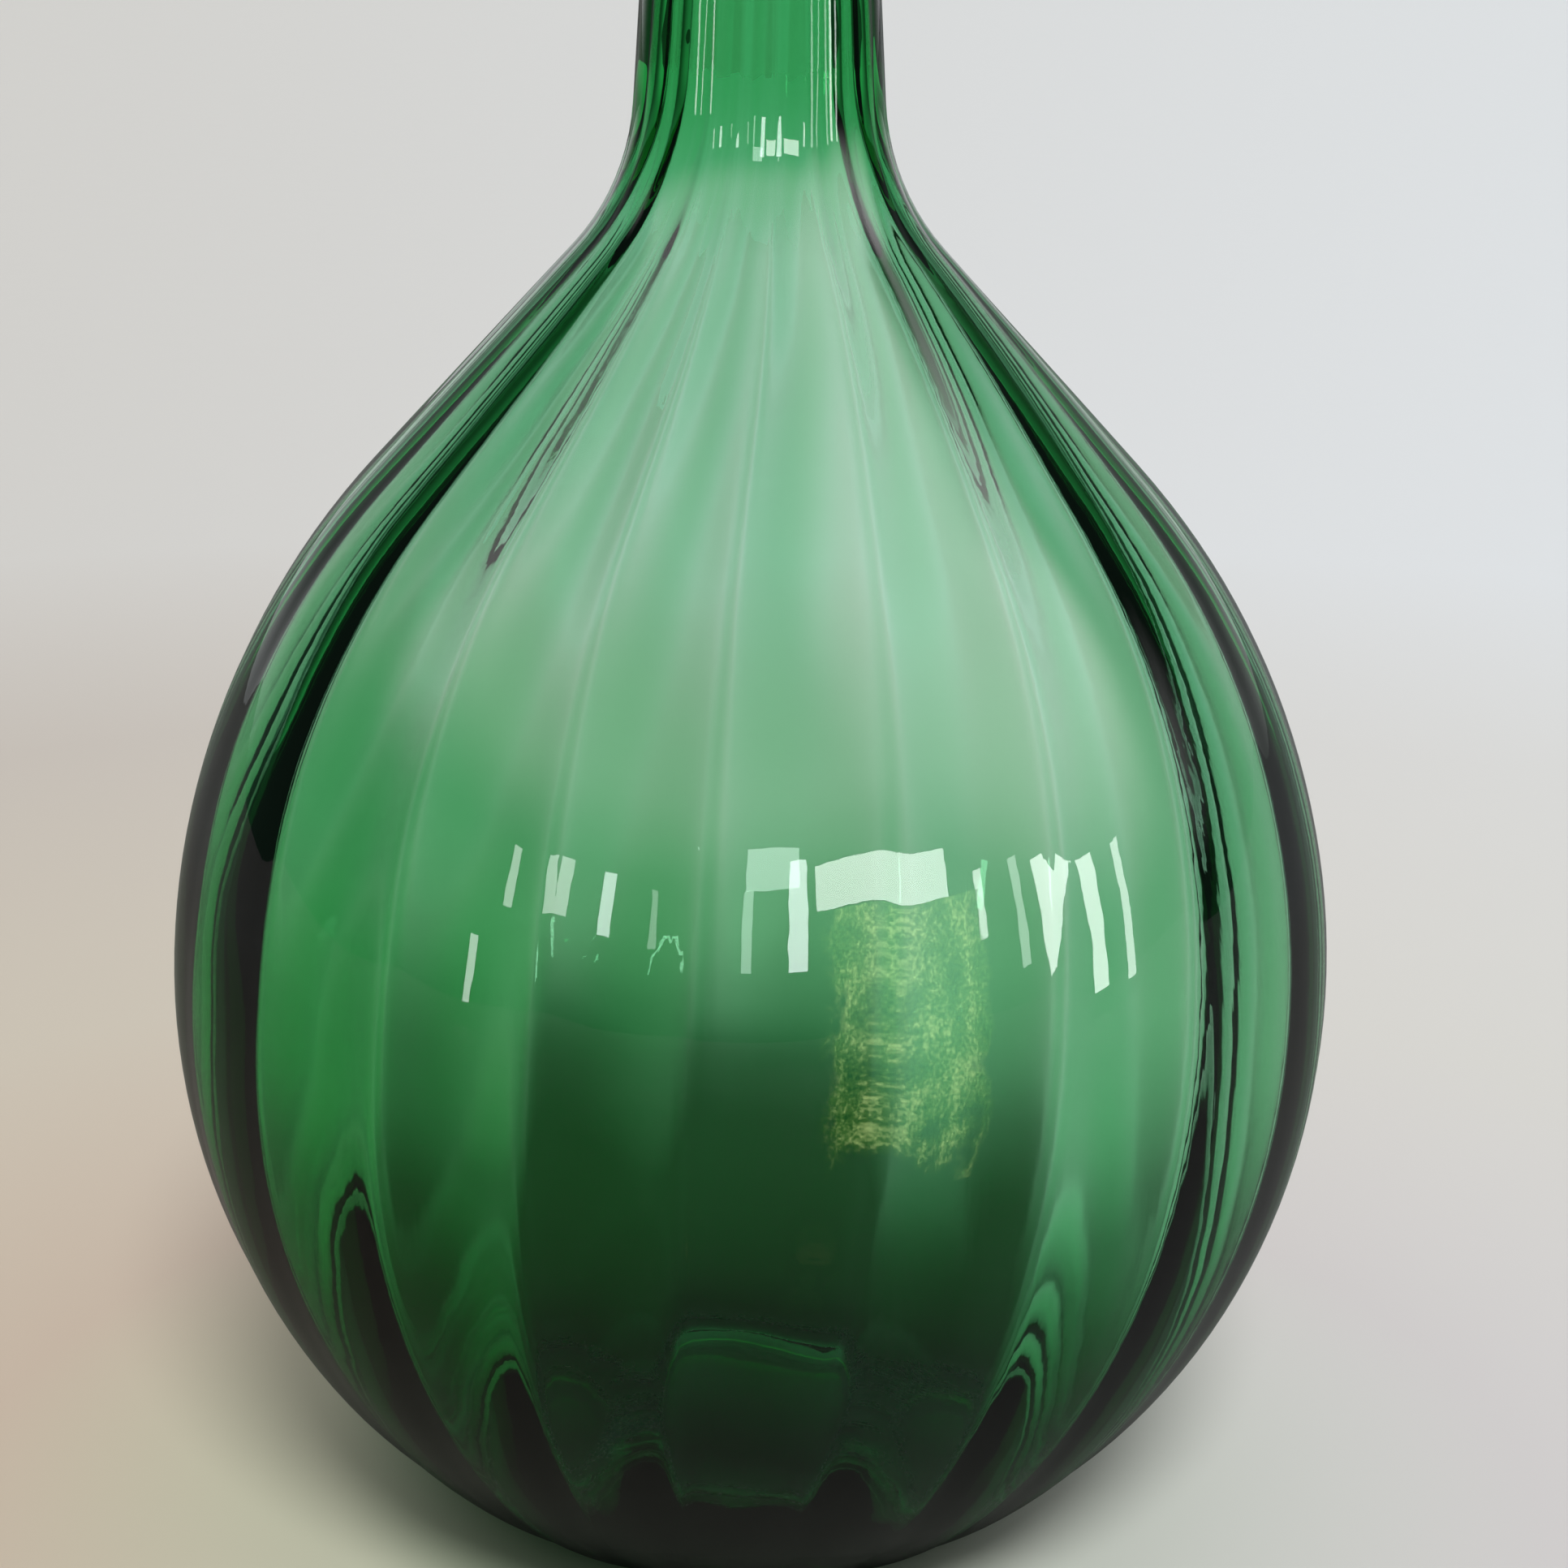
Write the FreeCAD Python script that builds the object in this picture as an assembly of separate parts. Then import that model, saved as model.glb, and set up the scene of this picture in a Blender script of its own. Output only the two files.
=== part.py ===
import FreeCAD, Part
import math
import os

# A mouth-blown glass carboy: a round bottle with a slightly hollow base, a thick ring laid round the
# end of its neck, and a bored cork bung that lifts out of the mouth.
# Millimetres, +Z up. The origin is the centre of the ring that the bottle stands on.

# ---- Bottle, outside ---------------------------------------------------------------------------
BODY_RADIUS = 110.0          # at the widest point, the belly
LOWER_ARC_RADIUS = 124.0     # sweep of the wall below the belly
UPPER_ARC_RADIUS = 143.0     # sweep of the wall above the belly
SHOULDER_ANGLE = 43.0        # slope of the straight shoulder, degrees from upright
NECK_ARC_RADIUS = 41.5       # hollow sweep from shoulder to neck
NECK_ROOT_RADIUS = 22.6      # where that sweep ends and the neck begins
NECK_TAPER = 3.5             # degrees that each side of the neck leans in
NECK_LENGTH = 54.0           # from the neck's root to its end, along the neck

# ---- Bottle, base ------------------------------------------------------------------------------
FOOT_RING_RADIUS = 42.0      # outer edge of the flat ring that the bottle stands on
FOOT_RING_WIDTH = 7.0
FOOT_OUTER_EDGE = 12.0       # rounding from the ring up to the wall
FOOT_INNER_EDGE = 4.0        # rounding from the ring in to the kick-up
KICK_UP_HEIGHT = 5.0         # top of the hollow under the base

# ---- Glass thickness ---------------------------------------------------------------------------
BODY_WALL = 2.8
NECK_WALL = 7.0              # at the end of the neck, measured level
INNER_NECK_ARC_RADIUS = 50.0
INNER_LOWER_RADIUS = 111.0   # inside, below the belly; tighter than outside, so the wall thickens downwards
FLOOR_THICKNESS = 8.0        # over the kick-up
HEEL_RADIUS = 34.0           # inside, where the floor meets the wall

# ---- Lip ring ----------------------------------------------------------------------------------
LIP_OVERHANG = 6.0           # how far the ring stands out past the end of the neck
LIP_HEIGHT = 13.0
LIP_OUTER_EDGE = 5.0
LIP_MOUTH_EDGE = 1.6         # rounding of the rim inside the mouth

# ---- Bung --------------------------------------------------------------------------------------
BUNG_TAPER = 4.5             # degrees that each side leans
BUNG_CLEARANCE = 0.25        # between cork and glass, measured level
BUNG_INSERTION = 22.0        # below the rim of the mouth
BUNG_STANDING = 14.0         # above the rim of the mouth
BUNG_TOP_EDGE = 1.2
BUNG_TIP_EDGE = 0.8
STEM_BORE_RADIUS = 4.5       # through the middle, for the stem of an airlock

# ---- Tolerances --------------------------------------------------------------------------------
SAME_POINT = 1e-6
SAME_EDGE = 1e-4


def point(radius, height):
    """A point of a half section, in the XZ plane."""
    return FreeCAD.Vector(radius, 0, height)


def direction(degrees):
    """Outward direction that rises by so many degrees from level."""
    return point(math.cos(math.radians(degrees)), math.sin(math.radians(degrees)))


def elevation(vector):
    """Degrees by which a direction of the half section rises from level."""
    return math.degrees(math.atan2(vector.z, vector.x))


def arc(centre, radius, start, end):
    """An arc of a half section, between two directions in degrees."""
    middle = (start + end) / 2
    points = [centre + direction(degrees) * radius for degrees in (start, middle, end)]
    return Part.Arc(*points).toShape()


def line(start, end):
    """A straight edge between two points."""
    return Part.LineSegment(start, end).toShape()


def joined(edges):
    """The edges with straight ones added wherever one doesn't start where the last one ended."""
    outline = []
    for edge in edges + [edges[0]]:
        start = edge.firstVertex(True).Point
        if outline:
            last = outline[-1].lastVertex(True).Point
            if last.distanceToPoint(start) > SAME_POINT:
                outline.append(line(last, start))
        outline.append(edge)
    return outline[:-1]


def turned(edges):
    """The solid of revolution about Z of a closed half section."""
    face = Part.Face(Part.Wire(joined(edges)))
    return face.revolve(FreeCAD.Vector(0, 0, 0), FreeCAD.Vector(0, 0, 1), 360)


def meeting_of_circles(first, first_radius, second, second_radius):
    """The crossing of two circles that lies further from the axis."""
    span = second - first
    distance = span.Length
    along = (distance ** 2 + first_radius ** 2 - second_radius ** 2) / (2 * distance)
    across = math.sqrt(first_radius ** 2 - along ** 2)
    unit = span / distance
    side = point(-unit.z, unit.x)
    crossings = [first + unit * along + side * sign * across for sign in (1, -1)]
    return max(crossings, key=lambda crossing: crossing.x)


class BottleSection:
    """The centres and directions that the half section of the bottle is drawn from."""

    def __init__(self):
        foot_run = FOOT_RING_RADIUS - BODY_RADIUS + LOWER_ARC_RADIUS
        self.foot_angle = math.degrees(math.acos(foot_run / (LOWER_ARC_RADIUS - FOOT_OUTER_EDGE)))
        rise = (LOWER_ARC_RADIUS - FOOT_OUTER_EDGE) * math.sin(math.radians(self.foot_angle))
        self.belly_height = FOOT_OUTER_EDGE + rise
        self.foot_centre = point(FOOT_RING_RADIUS, FOOT_OUTER_EDGE)
        self.lower_centre = point(BODY_RADIUS - LOWER_ARC_RADIUS, self.belly_height)
        self.upper_centre = point(BODY_RADIUS - UPPER_ARC_RADIUS, self.belly_height)
        inner_reach = BODY_RADIUS - BODY_WALL - INNER_LOWER_RADIUS
        self.inner_lower_centre = point(inner_reach, self.belly_height)
        self.neck_root = self.find_neck_root()
        along_neck = direction(NECK_TAPER + 90)
        self.neck_end = self.neck_root + along_neck * NECK_LENGTH
        self.bore_end = self.neck_end - point(NECK_WALL, 0)

    def find_neck_root(self):
        """Where the hollow sweep, tangent to the shoulder, reaches the radius of the neck's root."""
        centre_radius = NECK_ROOT_RADIUS + NECK_ARC_RADIUS * direction(NECK_TAPER).x
        normal = direction(SHOULDER_ANGLE)
        shoulder = self.upper_centre + normal * UPPER_ARC_RADIUS
        centre_height = (NECK_ARC_RADIUS + shoulder.dot(normal) - centre_radius * normal.x) / normal.z
        return point(centre_radius, centre_height) - direction(NECK_TAPER) * NECK_ARC_RADIUS

    def neck_sweep(self, wall, neck_point, radius):
        """Centre of the arc tangent to the shoulder, a wall's depth in, and to the neck's side."""
        shoulder_normal = direction(SHOULDER_ANGLE)
        neck_normal = direction(NECK_TAPER)
        shoulder_reach = UPPER_ARC_RADIUS - wall + radius + self.upper_centre.dot(shoulder_normal)
        neck_reach = radius + neck_point.dot(neck_normal)
        cross = shoulder_normal.x * neck_normal.z - shoulder_normal.z * neck_normal.x
        centre_radius = shoulder_reach * neck_normal.z - neck_reach * shoulder_normal.z
        centre_height = neck_reach * shoulder_normal.x - shoulder_reach * neck_normal.x
        return point(centre_radius / cross, centre_height / cross)

    def kick_up(self):
        """Centre and radius of the dome under the base, and the centre of its rounded edge."""
        edge = FOOT_RING_RADIUS - FOOT_RING_WIDTH
        reach = (edge ** 2 + KICK_UP_HEIGHT ** 2) / (2 * KICK_UP_HEIGHT)
        dome_radius = reach - FOOT_INNER_EDGE
        dome_centre = point(0, KICK_UP_HEIGHT - dome_radius)
        return dome_centre, dome_radius, point(edge, FOOT_INNER_EDGE)


def outside_edges(section):
    """Half section of the bottle's outside, from the axis under the base to the neck's end."""
    dome_centre, dome_radius, edge_centre = section.kick_up()
    sweep_centre = section.neck_sweep(0, section.neck_root, NECK_ARC_RADIUS)
    dome_edge = elevation(edge_centre - dome_centre)
    return [
        arc(dome_centre, dome_radius, 90, dome_edge),
        arc(edge_centre, FOOT_INNER_EDGE, dome_edge + 180, 270),
        arc(section.foot_centre, FOOT_OUTER_EDGE, -90, -section.foot_angle),
        arc(section.lower_centre, LOWER_ARC_RADIUS, -section.foot_angle, 0),
        arc(section.upper_centre, UPPER_ARC_RADIUS, 0, SHOULDER_ANGLE),
        arc(sweep_centre, NECK_ARC_RADIUS, SHOULDER_ANGLE + 180, NECK_TAPER + 180),
        line(section.neck_root, section.neck_end),
    ]


def inside_edges(section):
    """Half section of the bottle's inside, from the neck's end down to the axis."""
    dome_centre, dome_radius, _ = section.kick_up()
    floor_radius = dome_radius + FLOOR_THICKNESS
    lower_centre = section.inner_lower_centre
    heel_centre = meeting_of_circles(
        dome_centre, floor_radius + HEEL_RADIUS, lower_centre, INNER_LOWER_RADIUS - HEEL_RADIUS)
    floor_edge = elevation(heel_centre - dome_centre)
    heel_angle = elevation(heel_centre - lower_centre)
    sweep_centre = section.neck_sweep(BODY_WALL, section.bore_end, INNER_NECK_ARC_RADIUS)
    sweep_end = sweep_centre - direction(NECK_TAPER) * INNER_NECK_ARC_RADIUS
    return [
        line(section.bore_end, sweep_end),
        arc(sweep_centre, INNER_NECK_ARC_RADIUS, NECK_TAPER + 180, SHOULDER_ANGLE + 180),
        arc(section.upper_centre, UPPER_ARC_RADIUS - BODY_WALL, SHOULDER_ANGLE, 0),
        arc(lower_centre, INNER_LOWER_RADIUS, 0, heel_angle),
        arc(heel_centre, HEEL_RADIUS, heel_angle, floor_edge - 180),
        arc(dome_centre, floor_radius, floor_edge, 90),
    ]


def glass_vessel(section):
    """The blown bottle: body, shoulder, neck and kicked-up base in one wall of glass."""
    return turned(outside_edges(section) + inside_edges(section))


def mouth_radius(section, height):
    """Radius of the tapered mouth, so far above the end of the neck."""
    return section.bore_end.x + height * math.tan(math.radians(BUNG_TAPER))


def lip_ring(section):
    """The ring laid round the neck's end, whose bore opens upwards to seat the bung."""
    base = section.neck_end.z
    top = base + LIP_HEIGHT
    outer = section.neck_end.x + LIP_OVERHANG
    edge = min(LIP_OUTER_EDGE, LIP_HEIGHT / 2)
    rim_reach = LIP_MOUTH_EDGE / math.cos(math.radians(BUNG_TAPER))
    rim_centre = point(mouth_radius(section, LIP_HEIGHT - LIP_MOUTH_EDGE) + rim_reach, top - LIP_MOUTH_EDGE)
    return turned([
        arc(point(outer - edge, base + edge), edge, -90, 0),
        arc(point(outer - edge, top - edge), edge, 0, 90),
        arc(rim_centre, LIP_MOUTH_EDGE, 90, 180 - BUNG_TAPER),
        line(point(mouth_radius(section, 0), base), point(outer - edge, base)),
    ])


def bung(section):
    """The tapered cork, bored right through for an airlock's stem."""
    rim = section.neck_end.z + LIP_HEIGHT
    tip = rim - BUNG_INSERTION
    top = rim + BUNG_STANDING

    def side(height):
        return point(mouth_radius(section, height - section.neck_end.z) - BUNG_CLEARANCE, height)

    cork = turned([
        line(point(STEM_BORE_RADIUS, tip), side(tip)),
        line(side(top), point(STEM_BORE_RADIUS, top)),
    ])
    tip_rim = [edge for edge in cork.Edges if is_circle(edge, side(tip))]
    top_rim = [edge for edge in cork.Edges if is_circle(edge, side(top))]
    return cork.makeFillet(BUNG_TIP_EDGE, tip_rim).makeFillet(BUNG_TOP_EDGE, top_rim)


def is_circle(edge, start):
    """Whether an edge is the circle about Z through a point of the half section."""
    curve = edge.Curve
    if not isinstance(curve, Part.Circle):
        return False
    return abs(curve.Radius - start.x) < SAME_EDGE and abs(curve.Center.z - start.z) < SAME_EDGE


def main():
    os.makedirs("parts", exist_ok=True)
    section = BottleSection()
    pieces = {
        "glass_vessel": glass_vessel(section),
        "lip_ring": lip_ring(section),
        "bung": bung(section),
    }
    for name, shape in pieces.items():
        shape.exportStep("parts/" + name + ".step")


main()
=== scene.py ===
import math

import bpy
from mathutils import Matrix, Vector


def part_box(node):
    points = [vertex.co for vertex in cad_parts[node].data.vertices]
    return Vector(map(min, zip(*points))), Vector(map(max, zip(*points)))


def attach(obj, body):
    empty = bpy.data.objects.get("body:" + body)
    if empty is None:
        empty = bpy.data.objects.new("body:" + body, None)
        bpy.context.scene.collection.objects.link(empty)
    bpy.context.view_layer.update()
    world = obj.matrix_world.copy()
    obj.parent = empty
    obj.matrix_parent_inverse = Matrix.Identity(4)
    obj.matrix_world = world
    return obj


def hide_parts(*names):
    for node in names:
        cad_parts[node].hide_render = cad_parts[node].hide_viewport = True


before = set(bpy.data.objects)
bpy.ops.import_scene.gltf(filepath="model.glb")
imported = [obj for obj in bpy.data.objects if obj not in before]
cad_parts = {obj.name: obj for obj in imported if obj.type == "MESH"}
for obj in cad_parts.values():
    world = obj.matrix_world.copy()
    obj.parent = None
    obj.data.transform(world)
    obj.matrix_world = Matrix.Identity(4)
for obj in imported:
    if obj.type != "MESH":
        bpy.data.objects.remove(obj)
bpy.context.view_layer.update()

# A green, mouth-blown glass carboy with optic ribs and a bored cork bung, in metres, +Z up.
# The bottle's front, which faces the camera, is towards -Y.

MM = 0.001

# ---- Sizes of the bottle, from the frame where it gives them ------------------------------------
NECK_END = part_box("glass_vessel")[1].z
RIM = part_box("lip_ring")[1].z
LIP_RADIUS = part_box("lip_ring")[1].x
BUNG_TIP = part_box("bung")[0].z
BUNG_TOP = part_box("bung")[1].z
BODY_RADIUS = 110 * MM
LOWER_ARC_RADIUS = 124 * MM
UPPER_ARC_RADIUS = 143 * MM
SHOULDER_ANGLE = 43
NECK_ARC_RADIUS = 41.5 * MM
INNER_NECK_ARC_RADIUS = 50 * MM
NECK_TAPER = 3.5
NECK_ROOT_RADIUS = 22.6 * MM
FOOT_RING_RADIUS = 42 * MM
FOOT_RING_WIDTH = 7 * MM
FOOT_OUTER_EDGE = 12 * MM
FOOT_INNER_EDGE = 4 * MM
KICK_UP_HEIGHT = 5 * MM
BODY_WALL = 2.8 * MM
NECK_WALL = 7.0 * MM
INNER_LOWER_RADIUS = 111 * MM    # less than the outside's by more than the wall, so the wall thickens down
FLOOR_THICKNESS = 8 * MM
HEEL_RADIUS = 34 * MM
LIP_OUTER_EDGE = 5 * MM
LIP_MOUTH_EDGE = 1.6 * MM
LIP_WELD = 1.2 * MM              # soft corner where the ring is melted on to the neck
BUNG_TAPER = 4.5
BUNG_CLEARANCE = 0.25 * MM
BUNG_TOP_EDGE = 1.2 * MM
BUNG_TIP_EDGE = 0.8 * MM
STEM_BORE_RADIUS = 4.5 * MM

# ---- Ribs and ripples of the blown glass --------------------------------------------------------
RIBS = 20
OUTER_RIB = 0.50 * MM            # rise of a rib's crown over its creases, outside
INNER_RIB = 1.40 * MM
RIB_START = -1.3                 # degrees from the front to the crown of the nearest rib, at the base
RIB_LEAN = 45                    # degrees that the ribs wind round for each metre of height
SHOULDER_TWIST = 7               # degrees that they wind further where the neck was drawn out
TWIST_FROM = 195 * MM
TWIST_TO = 285 * MM
RIB_CROWDING = 0.25              # how much closer the ribs stand in front than behind, at the base
RIB_EVENING = 0.95               # how much of that is lost for each metre of height
CREASE_WIDTH = 0.12              # rounding of a crease, as a share of the rib's rise
NECK_RIB_SHARE = 0.35            # of a rib's rise, left where the neck was drawn out thin
THICK_SIDE = 4.0 * MM            # extra glass low on the left, where the gather ran thick
THICK_TURN = math.radians(10)    # from due left, towards the front
THICK_FROM = 118 * MM            # height at which the extra glass begins to thin out, and is gone
THICK_TO = 165 * MM
THICK_INNER = 20 * MM            # radius on the floor from which the extra glass begins, and is full
THICK_OUTER = 80 * MM
RIBS_INNER = 30 * MM             # radius under the base from which the ribs rise, and are full
RIBS_OUTER = 64 * MM
RIBS_END = 18 * MM               # length of neck under the ring in which they die out
RIB_WANDER = ((3, 1.0, 0.018), (7, 2.1, 0.012))   # waves that shift them: number, start and radians
WAVE_SCALE = 22.0                # slow waves of the whole wall
WAVE_HEIGHT = 0.3 * MM
WAVE_FADE = 60                   # share of the waves for each metre from the axis, up to all
BOTTLE_SEGMENTS = 360

# ---- Glass --------------------------------------------------------------------------------------
GLASS_IOR = 1.5
GLASS_TINT = (0.0, 0.775, 0.34, 1)
GLASS_DENSITY = 195.0
RIPPLE_SCALE = 55.0
RIPPLE_STRENGTH = 0.08
STREAK_SCALE = 330.0             # fine streaks, drawn out upwards
STREAK_STRETCH = (1, 1, 0.07)
STREAK_SHARE = 0.12
FOOT_WEAR = 0.35                 # roughness where the foot is worn
FOOT_WEAR_HEIGHT = (0.2 * MM, 1.8 * MM)   # heights up to which it is full, and gone
SCUFF_SCALE = 900.0
SCUFF_EDGE = (0.35, 0.65)

# ---- Cork ---------------------------------------------------------------------------------------
BUNG_SEGMENTS = 180
PORE_SCALE = 260.0
PORE_DEPTH = 0.7 * MM
PORE_PICK_SCALE = 130.0          # of the noise that picks which pores are cut open
PORE_PICK_EDGE = (0.0, 0.08)
PIT_EDGE = (0.12, 0.34)          # of a pore's cell: up to where its pit is deepest, and where it ends
DARK_PORE_EDGE = (0.14, 0.40)    # the same for its colour
GRAIN_SCALE = 900.0
GRAIN_DEPTH = 0.12 * MM
FINE_GRAIN_SCALE = 1400.0
FINE_GRAIN_STRENGTH = 0.35
FINE_GRAIN_DEPTH = 0.4 * MM
MOTTLE_SCALE = 160.0
CORK_ROUGHNESS = 0.68            # and more by a share of the mottle
CORK_ROUGHNESS_MOTTLE = 0.2
CORK_GLOSS = 0.3
CORK_TONES = (
    (0.30, (0.30, 0.165, 0.075, 1)), (0.52, (0.50, 0.31, 0.16, 1)), (0.75, (0.62, 0.42, 0.24, 1)))
PORE_TONE = (0.09, 0.045, 0.02, 1)
CORK_PAINTED_LIGHT = 0.45                 # painted light: a glow of its colour, where glass is over it, for the light that glass lets in

# ---- Light --------------------------------------------------------------------------------------
KEY_LEVEL = 0.50                 # share of a plain level that the key gives the floor
KEY_HEIGHT = 50                  # degrees above level
KEY_SIDE = 8                     # degrees from the front
KEY_WIDTH = 18                   # degrees across
SOFT_LEVEL = (0.40, 0.40, 0.40, 1)
SOFT_OVERHEAD = (0.56, 0.56, 0.56, 1)
SOFT_EDGE = (0.0, 0.9)           # how far up, of 1, the soft light's level changes to the one overhead

# ---- Room, as the glass shows it ----------------------------------------------------------------
# An edge says how far a ray's way goes up, back or towards the side wall, of 1, where that part of
# the room begins and where it is full.
BACKDROP = (0.66, 0.67, 0.68, 1)
DIM_ROOM = (0.035, 0.075, 0.05, 1)
CEILING = (1.8, 1.95, 1.9, 1)
OVER_WINDOWS = (1.9, 1.9, 1.85, 1)
BRIGHT_SIDE = (3.9, 3.9, 3.9, 1)
SIDE_WALL = (0.66, -0.06, 0.75)  # the way to a brightly lit wall, up on the right
SIDE_WALL_EDGE = (0.70, 0.98)
SIDE_WALL_BACK = (0.0, 0.35)     # where it fades out, towards the back
CEILING_EDGE = (0.72, 0.90)
OVER_EDGE = (0.35, 0.62)
OVER_BACK = (0.0, 0.3)           # where the brightness over the windows fades out, towards the back
BACK_EDGE = (0.5, 0.95)
BACK_RISE = (0.0, 0.2)           # where the wall behind gets darker, upwards, and by how much
BACK_DARKER = 0.65

# Each window's middle and width in degrees round from the front, its bottom and top in degrees above
# level, how bright it is, and its tint.
WINDOW_DISTANCE = 2.2
WINDOW_SEEN_INSIDE = "right_slit"   # the one that the inner side of the glass reflects too
WINDOWS = {
    "far_left_pane": (-51, 2.5, 0, 9, 8, (1, 1, 1)),
    "left_slit": (-43, 2.5, 14, 22, 7, (1, 1, 1)),
    "left_pane": (-30, 4, 13, 22, 11, (0.93, 0.97, 1)),
    "left_glint": (-15, 2, 12, 21, 4, (0.9, 1, 0.95)),
    "middle_top": (1.5, 15, 22, 28, 7, (0.85, 1, 0.95)),
    "middle_left": (-5, 2.5, 10, 22, 6, (0.8, 1, 0.9)),
    "middle_right": (8.7, 5, 10, 26, 13, (0.92, 0.96, 1)),
    "door_sky": (24.5, 21, 18.5, 25, 11, (1, 1, 1)),
    "right_slit": (44, 2.5, 11, 20, 11, (1, 1, 1)),
    "right_glint": (56, 2.5, 5, 19, 6, (0.9, 1, 0.95)),
    "right_pane": (63.5, 4, 0, 17, 12, (1, 1, 1)),
    "far_right_pane": (74, 3, -1, 16, 9, (1, 1, 1)),
}

# Sunlit leaves under a window, which the belly reflects; degrees round from the front and above level
LEAVES_DISTANCE = 0.35
LEAVES_HEIGHT = 0.12             # of the place that the degrees above level are taken from
LEAVES_MIDDLE = 26
LEAVES_WIDTH = 27
LEAVES_BOTTOM = -18
LEAVES_TOP = 18.5
LEAVES_REACH = (0.285, 0.31)     # metres at which their mirror image fades, so only the near side has it
LEAF_SCALE = 220.0
LEAF_SHARE = 0.55                # of the leaves in the pattern; the boughs have the rest
BOUGH_SCALE = 26.0
LEAVES_SIDES = (0.70, 0.95)      # of their half width, where they thin out, and end
LEAVES_FOOT = (0.0, 0.25)        # of their height, the same for their foot
RAGGED_SIDES = 1.4               # how far the boughs break up those edges
RAGGED_FOOT = 0.9
LEAF_TONES = ((0.40, (0.05, 0.2, 0.03, 1)), (0.50, (0.9, 1.7, 0.35, 1)), (0.62, (6.0, 7.5, 2.8, 1)))

# ---- Table: its colour by metres from the bottle's middle ---------------------------------------
TABLE_HALF = 12.0
# The nearest stops are painted green and lighter: painted green light that the bottle's glass lets through
# near its foot.
TABLE_LEFT = (
    (0.07, (0.60, 0.63, 0.43, 1)), (0.16, (0.59, 0.48, 0.38, 1)), (0.30, (0.59, 0.53, 0.44, 1)),
    (0.58, (0.54, 0.49, 0.44, 1)), (0.90, (0.62, 0.60, 0.57, 1)))
TABLE_RIGHT = (
    (0.07, (0.72, 0.77, 0.72, 1)), (0.16, (0.68, 0.66, 0.66, 1)), (0.30, (0.69, 0.68, 0.65, 1)),
    (0.58, (0.70, 0.70, 0.69, 1)), (0.90, (0.74, 0.765, 0.79, 1)))
TABLE_GRAIN_SCALE = 30.0
TABLE_ROUGHNESS = 0.6            # and more by a share of the grain
TABLE_ROUGHNESS_GRAIN = 0.1
TABLE_GLOSS = 0.2
TABLE_TURN = 0.45                # how far to a side, of 1, the table has that side's colour alone
TABLE_TURN_SOFT = 0.3            # metres by which the change of sides is softened near the bottle
# Painted shade: the table's colour is darkened where the glass mirrors it.
TABLE_MIRRORED = (0.02, 0.02, 0.02, 1)
TABLE_MIRRORED_SHARE = 0.88

# Painted shadow: the bottle's dark green shade, with the green of light through its glass, painted on the
# table behind it
PAINTED_SHADOW_MIDDLE = (-0.01, 0.07, 0)
PAINTED_SHADOW_SPREAD = (12.0, 6.4, 0)     # per metre: one over the painted shadow's half width and half length
PAINTED_SHADOW_EDGE = (0.60, 1.05)         # where it begins to fade, and is gone, of its half size
PAINTED_SHADOW_COLOUR = (0.07, 0.21, 0.085, 1)

# ---- Camera -------------------------------------------------------------------------------------
CAMERA_DISTANCE = 0.605          # from the middle of the belly
CAMERA_RISE = 20                 # degrees above level
CAMERA_AIM = Vector((0.0058, 0, 0.1453))
CAMERA_LEAN = 0.68               # degrees that it leans left, so that the bottle leans right
CAMERA_LENS = 71.35
CAMERA_SENSOR = 36


# ---- Node trees as expressions ------------------------------------------------------------------
class Value:
    """An output socket that takes part in expressions; each operation adds its Math node."""

    def __init__(self, net, node, socket):
        self.net = net
        self.node = node
        self.socket = socket

    def out(self, name):
        return Value(self.net, self.node, self.net.find(self.node.outputs, name))

    def math(self, operation, *others):
        return self.net.add("ShaderNodeMath", {"operation": operation}, dict(enumerate((self, *others))))

    def __add__(self, other):
        return self.math("ADD", other)

    def __sub__(self, other):
        return self.math("SUBTRACT", other)

    def __rsub__(self, other):
        return (self * -1) + other

    def __mul__(self, other):
        return self.math("MULTIPLY", other)

    def __truediv__(self, other):
        return self.math("DIVIDE", other)

    __radd__ = __add__
    __rmul__ = __mul__

    def sin(self):
        return self.math("SINE")

    def cos(self):
        return self.math("COSINE")

    def sqrt(self):
        return self.math("SQRT")

    def floor(self):
        return self.math("FLOOR")

    def clamp(self):
        return self.math("MINIMUM", 1).math("MAXIMUM", 0)

    def step(self, low, high):
        """0 below low, 1 above high, smooth between."""
        inputs = {"Value": self, "From Min": low, "From Max": high}
        return self.net.add("ShaderNodeMapRange", {"interpolation_type": "SMOOTHSTEP"}, inputs)


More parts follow.
